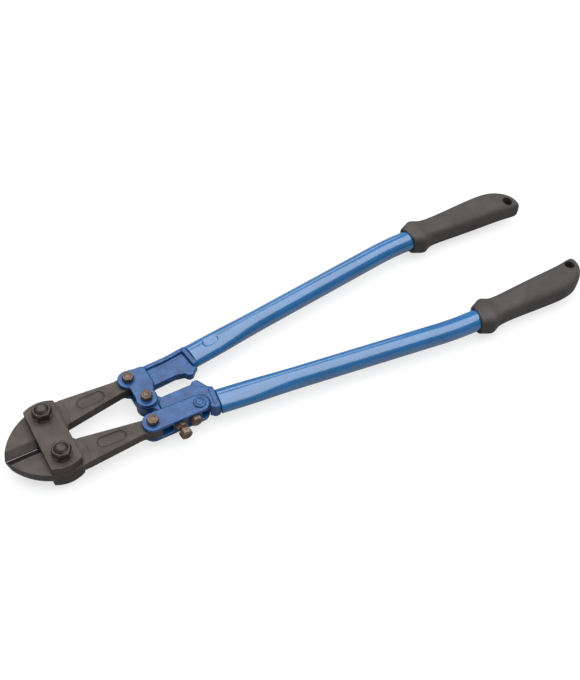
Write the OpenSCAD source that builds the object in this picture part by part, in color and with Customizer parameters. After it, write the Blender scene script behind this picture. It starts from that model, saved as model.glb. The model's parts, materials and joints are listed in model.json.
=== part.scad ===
// Compound-lever bolt cutters with centre-cut jaws, tubular handles and an adjusting link.
// All sizes are in millimetres. X runs from the blades to the grips, Y across the handles, Z up.

/* [Jaws] */
// Distance between the two jaw bolts
jaw_bolt_spacing = 47; // [39:0.5:57]
// Reach of the blades in front of the jaw bolts
blade_reach = 46.5; // [38:0.5:56]
// Radius of the curved nose of each blade
nose_r = 58; // [48:1:70]
// Thickness of the blades and hubs
jaw_t = 9.6; // [8:0.1:11.6]
// Thickness of the rear arms
arm_t = 10.4; // [8.6:0.1:12.5]
// Width of the bevel beside each cutting edge
bevel_w = 7.5; // [5:0.1:9]
// Gap between the two closed cutting edges
edge_gap = 0.3; // [0.2:0.05:0.6]
// Distance along the tool from the jaw bolts to the jaw pins
jaw_arm = 86.5; // [75:0.5:104]
// Distance of each jaw pin from the middle line
pin_off = 27.5; // [24:0.5:30]
// Length of the sunk oval on each jaw arm
badge_l = 28; // [20:1:34]
// Width of the sunk oval on each jaw arm
badge_w = 12.5; // [9:0.5:14]

/* [Straps] */
// Width of the two straps, along the tool
strap_w = 29.5; // [25:0.5:36]
// Thickness of each strap
strap_t = 8.8; // [7:0.1:10.6]
// Distance from a jaw bolt to the curved end of the straps
strap_end = 14.9; // [12.4:0.1:18]
// Radius of the curved ends of the straps
strap_end_r = 29; // [24:1:40]

/* [Jaw bolts] */
// Diameter of the jaw bolts
jaw_bolt_d = 12; // [10:0.1:14.5]
// Width across the flats of the jaw nuts
jaw_nut_af = 16.5; // [13.7:0.1:19.8]
// Height of the jaw nuts
jaw_nut_h = 7.5; // [6:0.1:9]
// Diameter of the washers under the jaw nuts
washer_d = 18.6; // [15.5:0.1:22.4]
// Thickness of the washers
washer_t = 1.8; // [1:0.1:2.5]
// Height of the domed ends of the jaw bolts above their nuts
dome_h = 2.6; // [1.5:0.1:4]
// Height of the jaw bolt heads
jaw_head_h = 6; // [4:0.1:8]

/* [Pins] */
// Diameter of the jaw pins and of the centre pin
pin_d = 8; // [6.7:0.1:9.6]
// Diameter of the threaded ends of the pins
pin_thread_d = 6.4; // [5:0.1:6.5]
// Width across the flats of the nuts and heads of the pins
pin_nut_af = 10.2; // [10:0.1:12]
// Height of the nuts of the pins
pin_nut_h = 5; // [4:0.1:6]
// Height of the heads of the pins
pin_head_h = 4.5; // [3:0.1:6]
// Distance of the centre pin behind the jaw pins
centre_back = 6.5; // [4:0.5:9]
// Radial clearance of each turning pin
run_fit = 0.06; // [0.03:0.01:0.09]
// Angle between the fully open handles and the closed ones
open_angle = 84; // [60:1:90]

/* [Yokes] */
// Thickness of each ear of a fork
ear_t = 4; // [3.3:0.1:4.8]
// Radius of the rounded ends of the ears
boss_r = 10.3; // [9.6:0.1:11.5]
// Distance from the centre pin back to the front end of the tubes
yoke_len = 59; // [54:0.5:66]
// Distance of the front end of each tube from the middle line
tube_off = 29.8; // [28:0.1:33]
// Half height of the ribs of the yokes
rib_h = 7.9; // [6.5:0.1:9.5]
// Half height of the sunk field inside the ribs of the left yoke
field_h = 4.4; // [3.6:0.1:5.3]
// Thickness of the flange that each tube butts against
flange_t = 5; // [3:0.1:6]
// Half height of the stop lugs
lug_h = 4.4; // [3.6:0.1:5.3]

/* [Adjusting link] */
// Distance from the centre pin back to the link rivet
rivet_back = 41; // [38:0.5:46]
// Distance of the link rivet from the middle line
rivet_off = 28.5; // [27:0.5:31]
// Diameter of the link rivet
rivet_d = 8; // [6.7:0.1:9.6]
// Diameter of the heads of the link rivet
rivet_head_d = 12.4; // [11:0.1:14]
// Radius of the rear end of the link
link_end_r = 9.5; // [8:0.1:10]
// Swing of the link either way from rest
link_swing = 0.5; // [0.2:0.1:0.8]
// Diameter of the adjusting screw and the clamp bolt
screw_d = 6; // [5:0.1:7.2]
// Width across the flats of the screw heads
screw_head_af = 10.8; // [9.5:0.1:12]
// Height of the screw heads
screw_head_h = 5.5; // [4:0.1:7]
// Width across the flats of the lock nut
lock_nut_af = 10; // [9.2:0.1:12]
// Height of the lock nut
lock_nut_h = 4.6; // [3:0.1:6]

/* [Handles] */
// Outer diameter of the tubes
tube_d = 22; // [18.3:0.1:26.4]
// Wall of the tubes
tube_wall = 1.8; // [1:0.1:2.5]
// Outward angle of the tubes behind the yokes
splay = 7.4; // [6:0.1:8.5]
// Length of each tube in front of its bend
tube_straight = 237; // [190:1:290]
// Radius of the bend in front of the grips
bend_r = 340; // [280:5:420]
// Width of the flattened front end of each tube
oval_w = 26; // [24:0.1:30]
// Height of the flattened front end of each tube
oval_h = 17.8; // [16:0.1:20]
// Length of the flattened front end
oval_len = 22; // [18:1:30]
// Length over which the flattened end becomes round
oval_blend = 62; // [40:1:80]

/* [Grips] */
// Length of each grip
grip_len = 142; // [118:0.5:171]
// Thickness of the rubber over the tube at the thinnest place
grip_wall = 1.6; // [1.3:0.1:3]
// Depth to which each tube goes into its grip
grip_cover = 92; // [70:1:100]
// Diameter of the hanging hole in each grip
hang_d = 11; // [8:0.5:12]
// Distance of the hanging hole from the rear end of the grip
hang_back = 13; // [11:0.5:16]

/* [Hidden] */

bolt_black = "#4a423d";
jaw_black = "#56504b";
paint_blue = "#1f5fae";
rubber = "#4b4744";
pin_brown = "#5b4a42";

$fn = 48;
slip = 0.3;          // gap between moving pieces that are not a fit
side_slip = 0.15;    // gap at each side of a jaw between the straps
seat_fit = 0.05;     // radial gap of a piece that sits still in its hole
eps = 0.01;          // overlap of joined shapes

// Pivots, in the plane of the tool
P = [0, jaw_bolt_spacing / 2];
R = [jaw_arm, pin_off];
C = [jaw_arm + centre_back, 0];
Q = [C[0] + rivet_back, rivet_off];

// Heights above the mid-plane
ear_in = max(arm_t, jaw_t) / 2 + slip;
ear_out = ear_in + ear_t;
strap_in = jaw_t / 2 + side_slip;
strap_out = strap_in + strap_t;
base_h = strap_out + jaw_head_h;

// Travel of the open pivot at the right jaw pin. Half the handle angle moves each lever,
// and the jaw turns by a constant share of it, so the pin wanders from its true place.
crank = norm(R - C);
crank_angle = atan2(R[1] - C[1], R[0] - C[0]);
arm_len = norm(R - P);
arm_angle = atan2(R[1] - P[1], R[0] - P[0]);
half_open = open_angle / 2;
function jaw_turn(lever) = arm_angle - asin((crank * sin(crank_angle + lever) - P[1]) / arm_len);
jaw_open = jaw_turn(half_open);
function pin_wander(share) =
    2 * (P[1] + arm_len * sin(arm_angle - jaw_open * share)
         - crank * sin(crank_angle + half_open * share));
wander = max([for (share = [0.1:0.05:0.9]) -pin_wander(share)]);
link_travel = norm(Q - R) * sin(link_swing);
slot_out = wander + link_travel + 0.1;
slot_in = link_travel + 0.1;
slot_mid = (slot_out - slot_in) / 2;
// Play of that pin along the jaw, from the turn of the jaw and of the link
slot_play = 0.1 + max([
    for (share = [0:0.05:1]) -pin_wander(share) * sin(jaw_open * share)
                             + link_travel * sin((half_open + jaw_open) * share)]);
tail_wall = 2.2;
tail_r = (slot_out + slot_in) / 2 + pin_d / 2 + slot_play + tail_wall;

// Handles
tube_front = [C[0] + yoke_len, tube_off];
bend_start = tube_front + tube_straight * [cos(splay), sin(splay)];
bend_end = bend_start + bend_r * [sin(splay), 1 - cos(splay)];
grip_y = bend_end[1];
grip_x = bend_end[0] + 0.5;
tool_rear = grip_x + grip_len;
mid_x = (tool_rear - blade_reach) / 2;

bend_len = bend_r * splay * PI / 180;
bend_mid = bend_start + bend_r * [sin(splay), -cos(splay)];
tube_sides = 32;
tube_steps = concat([0, oval_len / 2],
                    [for (k = [0:6]) oval_len + oval_blend * k / 6],
                    [for (k = [0:5]) tube_straight + bend_len * k / 5],
                    [tube_straight + bend_len + grip_cover]);
// Point and heading of a tube's middle line at distance s from its front end
function tube_heading(s) = splay * (1 - max(0, min(1, (s - tube_straight) / bend_len)));
function tube_point(s) =
    s <= tube_straight ? tube_front + s * [cos(splay), sin(splay)]
    : s <= tube_straight + bend_len
        ? bend_mid + bend_r * [-sin(tube_heading(s)), cos(tube_heading(s))]
        : bend_end + [s - tube_straight - bend_len, 0];
// How round the tube is there: 0 is flattened and 1 is round
function roundness(s) =
    let (t = max(0, min(1, (s - oval_len) / oval_blend))) t * t * (3 - 2 * t);
function tube_ring(s, inset) =
    let (t = roundness(s), p = tube_point(s), h = tube_heading(s),
         half_w = (oval_w + (tube_d - oval_w) * t) / 2 - inset,
         half_h = (oval_h + (tube_d - oval_h) * t) / 2 - inset)
    [for (j = [0:tube_sides - 1])
        let (a = 360 * j / tube_sides)
        [p[0] - sin(h) * half_w * cos(a), p[1] + cos(h) * half_w * cos(a), half_h * sin(a)]];

// Section of each grip: [place along it, outer edge, inner edge, half height], as shares of
// its length and of the radius of the rubber over the tube
sleeve_r = tube_d / 2 + grip_wall;
grip_sections = [
    [0, 1.03, -1.03, 1], [0.04, 1.2, -1.18, 1.08], [0.085, 1.42, -1.38, 1.15],
    [0.115, 1.35, -1.32, 1.12], [0.165, 1.09, -1.08, 1.04], [0.24, 1.04, -1.04, 1],
    [0.39, 1.09, -1.13, 1.02], [0.6, 1.22, -1.26, 1.06], [0.79, 1.25, -1.34, 1.05],
    [0.885, 0.94, -1.42, 1.02], [0.94, 0.48, -1.53, 0.96], [0.975, 0, -1.62, 0.86],
    [1, -0.68, -1.3, 0.56]
];
grip_steps = 4;      // rings between two sections
grip_sides = 28;
hang_off = 0.7 * sleeve_r;
hang_hole = [tool_rear - hang_back, grip_y - hang_off];
skew_end = 0.2;      // share of the grip over which its leaning front end straightens

function spline(a, b, c, d, t) =
    0.5 * (2 * b + (c - a) * t + (2 * a - 5 * b + 4 * c - d) * t * t
           + (3 * b - a - 3 * c + d) * t * t * t);
function section_at(i) = grip_sections[max(0, min(len(grip_sections) - 1, i))];
grip_rings = [
    for (i = [0:len(grip_sections) - 2]) for (k = [0:grip_steps - 1])
        spline(section_at(i - 1), section_at(i), section_at(i + 1), section_at(i + 2),
               k / grip_steps),
    section_at(len(grip_sections) - 1)
];
// A rounded-square outline: the power is under 1 for flatter sides
function bulge(x) = sign(x) * pow(abs(x), 0.72);
function ring_points(ring) = [
    for (j = [0:grip_sides - 1])
        let (a = 360 * j / grip_sides,
             mid = (ring[1] + ring[2]) / 2 * sleeve_r,
             half = (ring[1] - ring[2]) / 2 * sleeve_r)
        let (y = mid + half * bulge(cos(a)),
             lean = tan(splay) * max(0, 1 - ring[0] / skew_end))
        [ring[0] * grip_len - lean * y, y, ring[3] * sleeve_r * bulge(sin(a))]
];

// Centre of the circle of radius r through two points, on the right-hand side from p to q
function arc_centre(p, q, r) =
    let (half = (q - p) / 2, h = sqrt(r * r - half * half))
    p + half + h * [half[1], -half[0]] / norm(half);
function arc(c, r, a0, a1, n = 10) =
    [for (i = [0:n]) c + r * [cos(a0 + (a1 - a0) * i / n), sin(a0 + (a1 - a0) * i / n)]];
function heading(c, p) = atan2(p[1] - c[1], p[0] - c[0]);

/* ---- shared shapes ---- */

// Puts the tool's own frame at the middle of its foot
module place() { translate([-mid_x, 0, base_h]) children(); }

module slab(z0, z1) { translate([0, 0, z0]) linear_extrude(z1 - z0) children(); }

// The same slab above and below the mid-plane
module slabs(z0, z1) {
    slab(z0, z1) children();
    mirror([0, 0, 1]) slab(z0, z1) children();
}

module at(p, z = 0) { translate([p[0], p[1], z]) children(); }

module right_side() { mirror([0, 1, 0]) children(); }

module hex(af, h) { cylinder(d = af / cos(30), h = h, $fn = 6); }

// A hexagon with its corners turned down at the top, standing on z = 0
module hex_nut(af, h) {
    top_share = 0.98;    // round top face, as a share of the flats
    intersection() {
        hex(af, h);
        cylinder(r1 = af / cos(30) / 2 + h, r2 = af / 2 * top_share, h = h);
    }
}

module stadium(l, w) {
    square([l - w, w], center = true);
    for (s = [-1, 1]) translate([s * (l - w) / 2, 0]) circle(d = w);
}

// Two triangles across each gap between one ring of points and the next
function skin_faces(n, i, k) = [
    for (j = [0:n - 1]) each [[i * n + j, k * n + j, k * n + (j + 1) % n],
                              [i * n + j, k * n + (j + 1) % n, i * n + (j + 1) % n]]];

// A solid through a row of rings, closed at both ends
module skin(rings) {
    n = len(rings[0]);
    last = len(rings) - 1;
    polyhedron(
        points = [for (ring = rings) each ring],
        faces = concat(
            [[for (j = [0:n - 1]) j]],
            [for (i = [0:last - 1]) each skin_faces(n, i, i + 1)],
            [[for (j = [0:n - 1]) last * n + n - 1 - j]]));
}

// A hollow solid through a row of rings that comes back to its first ring
module loop_skin(rings) {
    n = len(rings[0]);
    count = len(rings);
    polyhedron(
        points = [for (ring = rings) each ring],
        faces = [for (i = [0:count - 1]) each skin_faces(n, i, (i + 1) % count)]);
}

/* ---- straps and jaw bolts ---- */

// Plan of a strap: straight sides and two curved ends
module strap_plan() {
    reach = P[1] + strap_end;
    intersection() {
        square([strap_w, 2 * reach], center = true);
        union() {
            square([strap_w, 2 * P[1]], center = true);
            for (s = [0, 1]) mirror([0, s])
                translate([0, reach - strap_end_r]) circle(r = strap_end_r, $fn = 96);
        }
    }
}

module strap() {
    difference() {
        slab(strap_in, strap_out) strap_plan();
        for (s = [-1, 1]) translate([0, s * P[1], 0])
            cylinder(d = jaw_bolt_d + 2 * seat_fit, h = strap_out + 1);
    }
}

module upper_strap() { color(jaw_black) place() strap(); }

module lower_strap() { color(jaw_black) place() mirror([0, 0, 1]) strap(); }

module jaw_bolt() {
    nut_top = strap_out + washer_t + jaw_nut_h;
    thread_r = jaw_bolt_d / 2 - 0.3;
    cylinder(d = jaw_bolt_d, h = strap_out + washer_t / 2);
    cylinder(r = thread_r, h = nut_top + 0.4);
    // Domed end, a cap cut from a ball
    ball_r = (thread_r * thread_r + dome_h * dome_h) / (2 * dome_h);
    intersection() {
        translate([0, 0, nut_top + 0.4 + dome_h - ball_r]) sphere(r = ball_r, $fn = 64);
        translate([0, 0, nut_top]) cylinder(r = thread_r, h = dome_h + 1);
    }
    translate([0, 0, -strap_out]) cylinder(d = jaw_bolt_d, h = strap_out);
    translate([0, 0, -strap_out]) mirror([0, 0, 1]) hex_nut(jaw_nut_af, jaw_head_h);
}

module jaw_bolts() {
    color(bolt_black) place() for (s = [-1, 1]) translate([0, s * P[1], 0]) jaw_bolt();
}

module jaw_nuts() {
    color(bolt_black) place() for (s = [-1, 1]) translate([0, s * P[1], strap_out + washer_t])
        difference() {
            hex_nut(jaw_nut_af, jaw_nut_h);
            translate([0, 0, -1]) cylinder(d = jaw_bolt_d - 0.6 + 2 * seat_fit, h = jaw_nut_h + 2);
        }
}

module jaw_washers() {
    color(bolt_black) place() for (s = [-1, 1]) translate([0, s * P[1], strap_out])
        difference() {
            cylinder(d = washer_d, h = washer_t);
            translate([0, 0, -1]) cylinder(d = jaw_bolt_d + 2 * seat_fit, h = washer_t + 2);
        }
}

/* ---- jaws ---- */

shoulder = [-strap_w / 2 - 0.5, P[1] + 11.8];
arm_root = [strap_w / 2 + 2.25, P[1] + 14.5];
heel_r = P[1] - edge_gap / 2;
heel_angle = -39;
neck_x = R[0] - 12.5;
neck_out = R[1] + 6.1;
neck_in = R[1] - 9.4;
// The thicker arms begin outside the circle that the straps and the heel lie in
step_r = max(norm([strap_w / 2, strap_end]) + 1.2, heel_r) + slip;

// Plan of a left jaw: curved nose, hub, arm and tail
module jaw_plan(tail) {
    tip = [-blade_reach, edge_gap / 2];
    nose_c = arc_centre(tip, shoulder, nose_r);
    polygon(concat(
        arc(nose_c, nose_r, heading(nose_c, tip), heading(nose_c, shoulder), 12),
        [[-strap_w / 4, P[1] + 14.3], [2, P[1] + 15.2], arm_root,
         [neck_x, neck_out], tail + [1, tail_r * 0.95], tail + [1, -tail_r * 0.95],
         [neck_x, neck_in]],
        arc(P, heel_r, heel_angle, -90, 8)));
    at(tail) circle(r = tail_r);
}

arm_mid = [(strap_w / 2 + neck_x) / 2 + 2, (P[1] + R[1]) / 2 - 1];
arm_tilt = atan2(2.4, neck_x - arm_root[0]);

// The sunk oval: a ring-shaped groove with a field a little higher inside it
module badge() {
    groove = 1.1;
    field = 0.4;
    rim = 1.7;
    at(arm_mid, arm_t / 2) rotate(arm_tilt) {
        translate([0, 0, -groove]) linear_extrude(groove + 1) difference() {
            stadium(badge_l, badge_w);
            stadium(badge_l - 2 * rim, badge_w - 2 * rim);
        }
        translate([0, 0, -field]) linear_extrude(field + 1) stadium(badge_l - rim, badge_w - rim);
    }
}

// Wedge taken off one face of a blade, beside its cutting edge
module bevel_cut() {
    land = 0.25;
    length = blade_reach - strap_w / 2 + 6;
    translate([-blade_reach - 1, 0, 0]) rotate([90, 0, 90]) linear_extrude(length)
        polygon([[edge_gap / 2 - 1, land], [edge_gap / 2, land],
                 [edge_gap / 2 + bevel_w, jaw_t / 2], [edge_gap / 2 + bevel_w, jaw_t / 2 + 1],
                 [edge_gap / 2 - 1, jaw_t / 2 + 1]]);
}

module jaw(tail) {
    difference() {
        union() {
            slab(-jaw_t / 2, jaw_t / 2) jaw_plan(tail);
            slab(-arm_t / 2, arm_t / 2) difference() {
                jaw_plan(tail);
                at(P) circle(r = step_r, $fn = 96);
                translate([-2 * blade_reach, -P[1]]) square([2 * blade_reach, 4 * P[1]]);
            }
        }
        at(P, -jaw_t) cylinder(r = jaw_bolt_d / 2 + run_fit, h = 2 * jaw_t);
        bevel_cut();
        mirror([0, 0, 1]) bevel_cut();
        badge();
        mirror([0, 0, 1]) badge();
    }
}

module left_jaw() {
    color(jaw_black) place() difference() {
        jaw(R);
        at(R, -arm_t) cylinder(r = pin_d / 2 + run_fit, h = 2 * arm_t);
    }
}

// The right jaw's tail holds the open pivot: its pin slides in a short cross slot
module right_jaw() {
    tail = R + [0, slot_mid];
    slot_r = pin_d / 2 + slot_play;
    color(jaw_black) place() right_side() difference() {
        jaw(tail);
        at(R + [0, slot_out], -arm_t) cylinder(r = slot_r, h = 2 * arm_t);
        at(R - [0, slot_in], -arm_t) cylinder(r = slot_r, h = 2 * arm_t);
        at(R + [-slot_r, -slot_in], -arm_t) cube([2 * slot_r, slot_out + slot_in, 2 * arm_t]);
    }
}

/* ---- pins ---- */

// A pin that runs through two ears at z0 and z1: a hexagon head below and a thread above
module pin(z) {
    translate([0, 0, -z]) cylinder(d = pin_d, h = 2 * z);
    cylinder(d = pin_thread_d, h = z + pin_nut_h + 0.5);
    translate([0, 0, z + pin_nut_h + 0.5]) cylinder(d1 = pin_thread_d, d2 = pin_thread_d - 1.2,
                                                    h = 0.7);
    translate([0, 0, -z]) mirror([0, 0, 1]) hex_nut(pin_nut_af, pin_head_h);
}

module pin_nut(z) {
    translate([0, 0, z]) difference() {
        hex_nut(pin_nut_af, pin_nut_h);
        translate([0, 0, -1]) cylinder(d = pin_thread_d + 2 * seat_fit, h = pin_nut_h + 2);
    }
}

module left_jaw_pin() { color(pin_brown) place() at(R) pin(ear_out); }
module left_jaw_pin_nut() { color(pin_brown) place() at(R) pin_nut(ear_out); }
module centre_pin() { color(pin_brown) place() at(C) pin(ear_out); }
module centre_pin_nut() { color(pin_brown) place() at(C) pin_nut(ear_out); }
module right_jaw_pin() { color(pin_brown) place() right_side() at(R) pin(ear_out); }
module right_jaw_pin_nut() { color(pin_brown) place() right_side() at(R) pin_nut(ear_out); }

/* ---- yokes ---- */

flange_dir = [-sin(splay), cos(splay)];
flange_out = tube_front + 10.5 * flange_dir;
flange_in = tube_front - 14.5 * flange_dir;
seat_out = flange_out - [1, 0.5];    // where ribs, webs and lugs end, inside the flange
seat_in = flange_in - [1, 0];
body_x = C[0] + boss_r + 3;
left_inner = 13.5;           // inner edge of the left yoke
right_inner = 4.8;           // inner edge of the right yoke
left_lug_y = 7.6;            // stop lugs
right_lug_y = 0;
lug_x = tube_front[0] - 8;
lug_seat = 8;                // width of a lug where it joins its flange
rib_w = 4.6;
spigot_l = 40;
web_out = R[1] + 3.5;        // outer edge of the right yoke's web
link_inner = R[1] - boss_r + 1;
link_wall_y = web_out + 1;
link_wall_t = 4;
link_wall_x = body_x - 3;
screw_x = Q[0] - 24;
clamp_x = Q[0] - 9;
screw_gap = (Q[0] - screw_x + screw_d / 2) * sin(link_swing) + 0.1;
clamp_depth = 12;

// Tang that goes into the front end of a tube
module spigot() {
    at(tube_front) rotate([0, 0, splay]) rotate([0, 90, 0])
        translate([0, 0, -1]) linear_extrude(spigot_l + 1) rotate(90)
            stadium(oval_w - 2 * tube_wall - 2.2, oval_h - 2 * tube_wall - 2.4);
}

// Flange that the tube butts against, with rounded corners
module flange() {
    w = norm(flange_out - flange_in);
    mid = (flange_out + flange_in) / 2;
    corner = 4;
    h = oval_h / 2;
    at(mid) rotate([0, 0, splay]) rotate([0, 90, 0]) translate([0, 0, -flange_t])
        linear_extrude(flange_t) {
            square([2 * h, w - 2 * corner], center = true);
            square([2 * (h - corner), w], center = true);
            for (i = [-1, 1], j = [-1, 1])
                translate([i * (h - corner), j * (w / 2 - corner)]) circle(r = corner);
        }
}

// Plan of the two ears of the left yoke, up to the edge of the sunk field
module left_ear_plan() {
    knee = [body_x, R[1] + boss_r * 0.8];
    at(R) circle(r = boss_r);
    at(C) circle(r = boss_r);
    polygon([R + boss_r * [-0.55, 0.83], R + boss_r * [0.1, 1], R + boss_r * [1, 0.85], knee,
             [body_x, left_inner], C + boss_r * [0.9, 0.4], C + boss_r * [-0.88, 0.3],
             R + boss_r * [-0.3, -0.9]]);
}

module left_body_plan() {
    polygon([[body_x - 6, R[1] + boss_r * 0.8], [body_x + 22, R[1] + boss_r * 0.9],
             seat_out, seat_in, [body_x - 6, left_inner - 1.5],
             [body_x - 6, left_inner + 8]]);
}

// The raised faces of the ears end in an arc beside the sunk field
module left_ear_faces() {
    arc_r = 26.5;
    arc_mid = (R + C) / 2 + [-5.75, 4.3];
    intersection() {
        left_ear_plan();
        union() {
            at(arc_mid) circle(r = arc_r, $fn = 96);
            at(R) circle(r = boss_r);
            at(C) circle(r = boss_r);
        }
    }
}

module left_rib_plan() {
    front = [body_x - 5, R[1] + boss_r * 0.8];
    bend = [body_x + 22, R[1] + boss_r * 0.9];
    polygon([front, bend, seat_out, seat_out - [2, rib_w], bend - [0, rib_w],
             front - [0, rib_w]]);
}

module left_yoke() {
    color(paint_blue) place() difference() {
        union() {
            slab(-ear_out, ear_out) left_ear_faces();
            slab(-field_h, field_h) {
                left_ear_plan();
                left_body_plan();
            }
            slab(-rib_h, rib_h) left_rib_plan();
            flange();
            slab(-lug_h, lug_h) polygon([
                [lug_x - 14, left_inner + 3], [lug_x - 13, left_inner], [lug_x - 6, left_inner - 1.5],
                [lug_x - 3.5, left_lug_y + 1], [lug_x - 1.5, left_lug_y], [lug_x + 1.5, left_lug_y],
                seat_in, seat_in + lug_seat * flange_dir]);
            spigot();
        }
        // Room between the ears for the jaw tail and for the tongue of the other yoke
        slab(-ear_in, ear_in) {
            translate([0, -40]) square([body_x - 8, 100]);
            at(R) circle(r = tail_r + 2 * slip);
            at(C) circle(r = boss_r + 2 * slip);
        }
        at(R, -20) cylinder(r = pin_d / 2 + seat_fit, h = 40);
        at(C, -20) cylinder(r = pin_d / 2 + seat_fit, h = 40);
    }
}

// Plan of the right yoke's tongue and of the web that the link straddles
module right_web_plan() {
    at(C) circle(r = boss_r);
    polygon([C + boss_r * [0.1, 0.98], C + boss_r * [0.62, -0.7], [body_x + 1, right_inner],
             [lug_x - 10, right_inner], seat_in, seat_out - [flange_t - 1, rib_w],
             [Q[0] + 2, web_out], [body_x - 6, web_out], [body_x - 8, web_out - 2],
             [body_x - 8, 17]]);
}

module right_rib_plan() {
    difference() {
        polygon([[C[0] + boss_r - 3, right_inner + 6], [body_x - 1, right_inner],
                 [lug_x - 10, right_inner], seat_in, seat_out, seat_out - [flange_t - 1, 0],
                 Q + [4, 4], [C[0] + boss_r - 3, link_inner]]);
        offset(r = 2 * slip) link_plan();
        at(C) circle(r = boss_r + 2 * slip);
    }
}

module right_yoke() {
    color(paint_blue) place() right_side() difference() {
        union() {
            slab(-arm_t / 2, arm_t / 2) right_web_plan();
            slab(-rib_h, rib_h) right_rib_plan();
            flange();
            slab(-lug_h, lug_h) polygon([
                [lug_x - 14, right_inner + 1], [lug_x - 7, right_inner - 2.5],
                [lug_x - 4.3, right_lug_y], [lug_x + 0.9, right_lug_y], seat_in,
                seat_in + lug_seat * flange_dir]);
            spigot();
        }
        at(C, -20) cylinder(r = pin_d / 2 + run_fit, h = 40);
        at(Q, -20) cylinder(r = rivet_d / 2 + seat_fit, h = 40);
        at([clamp_x, web_out + 1]) rotate([90, 0, 0])
            cylinder(r = screw_d / 2 + run_fit, h = clamp_depth + 2);
    }
}

/* ---- adjusting link and its screws ---- */

module link_plan() {
    at(R) circle(r = boss_r);
    at(Q) circle(r = link_end_r);
    polygon([R - [0, boss_r], Q - [0, link_end_r], Q + [0, link_end_r], R + [0, boss_r]]);
}

// Room for a turning hexagon outside the link's wall, between its plates
module spot_face(x, af) {
    at([x, link_wall_y + link_wall_t]) rotate([-90, 0, 0])
        cylinder(r = af / cos(30) / 2 + slip, h = boss_r);
}

module adjusting_link() {
    color(paint_blue) place() right_side() difference() {
        union() {
            slabs(ear_in, ear_out) link_plan();
            // Outer wall that joins the two plates and holds the screws
            translate([link_wall_x, link_wall_y, -ear_in - eps])
                cube([clamp_x + 8 - link_wall_x, link_wall_t, 2 * (ear_in + eps)]);
        }
        at(R, -20) cylinder(r = pin_d / 2 + seat_fit, h = 40);
        at(Q, -20) cylinder(r = rivet_d / 2 + run_fit, h = 40);
        at([screw_x, link_wall_y - 1]) rotate([-90, 0, 0])
            cylinder(r = screw_d / 2 + run_fit, h = link_wall_t + 2);
        at([clamp_x, link_wall_y - 1]) rotate([-90, 0, 0])
            cylinder(r = screw_d / 2 + 2 * slip, h = link_wall_t + 2);
        spot_face(screw_x, lock_nut_af);
        spot_face(clamp_x, screw_head_af);
    }
}

module link_rivet() {
    head = 1.6;
    color(paint_blue) place() right_side() at(Q) {
        translate([0, 0, -ear_out - slip / 2]) cylinder(d = rivet_d, h = 2 * ear_out + slip);
        for (s = [0, 1]) mirror([0, 0, s]) translate([0, 0, ear_out + slip / 2])
            cylinder(d1 = rivet_head_d, d2 = rivet_head_d - 2.4, h = head);
    }
}

// A screw pointing inwards from its head: the shank ends at y0 and the head starts at y1
module side_screw(x, y0, y1) {
    slot_w = 1.6;
    at([x, y0]) rotate([-90, 0, 0]) {
        cylinder(d = screw_d, h = y1 - y0);
        translate([0, 0, y1 - y0]) difference() {
            hex_nut(screw_head_af, screw_head_h);
            translate([-screw_head_af, -slot_w / 2, screw_head_h - 1.8])
                cube([2 * screw_head_af, slot_w, 3]);
        }
    }
}

module adjusting_screw() {
    color(pin_brown) place() right_side()
        side_screw(screw_x, web_out + screw_gap, link_wall_y + link_wall_t + lock_nut_h + 4.5);
}

module adjuster_lock_nut() {
    color(pin_brown) place() right_side()
        at([screw_x, link_wall_y + link_wall_t + 0.1]) rotate([-90, 0, 0]) difference() {
            hex_nut(lock_nut_af, lock_nut_h);
            translate([0, 0, -1]) cylinder(r = screw_d / 2, h = lock_nut_h + 2);
        }
}

module clamp_bolt() {
    color(pin_brown) place() right_side()
        side_screw(clamp_x, web_out - clamp_depth, link_wall_y + link_wall_t + slip);
}

/* ---- handles ---- */

module tube() {
    outer = [for (s = tube_steps) tube_ring(s, 0)];
    inner = [for (i = [len(tube_steps) - 1:-1:0]) tube_ring(tube_steps[i], tube_wall)];
    loop_skin(concat(outer, inner));
}

// Press mark that locks the left tube on its tang
module crimp() {
    at(tube_front) rotate(splay) translate([25, 0, oval_h / 2 - 0.8])
        linear_extrude(3) stadium(15, 8.5);
}

module left_tube() {
    color(paint_blue) place() difference() {
        tube();
        crimp();
    }
}

module right_tube() { color(paint_blue) place() right_side() tube(); }

module grip() {
    difference() {
        translate([grip_x, grip_y, 0]) skin([for (ring = grip_rings) ring_points(ring)]);
        at([grip_x - 5, grip_y]) rotate([0, 90, 0])
            cylinder(r = tube_d / 2 + seat_fit, h = bend_end[0] + grip_cover - grip_x + 5);
        at(hang_hole, -40) cylinder(d = hang_d, h = 80);
    }
}

module left_grip() { color(rubber) place() grip(); }
module right_grip() { color(rubber) place() right_side() grip(); }

upper_strap();
lower_strap();
jaw_bolts();
jaw_nuts();
jaw_washers();
left_jaw();
right_jaw();
left_yoke();
left_tube();
left_grip();
left_jaw_pin();
left_jaw_pin_nut();
centre_pin();
centre_pin_nut();
right_yoke();
right_tube();
right_grip();
link_rivet();
adjusting_link();
right_jaw_pin();
right_jaw_pin_nut();
adjusting_screw();
adjuster_lock_nut();
clamp_bolt();
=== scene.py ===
"""Looks of a pair of bolt cutters: forged jaws, painted yokes and tubes, rubber grips.

Every length in the dataclass fields is in millimetres unless its name ends in _m.
"""

import json
import logging
import math
from collections.abc import Callable, Sequence
from dataclasses import dataclass, field
from enum import Enum

import bmesh
import bpy
from mathutils import Matrix, Vector

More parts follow.
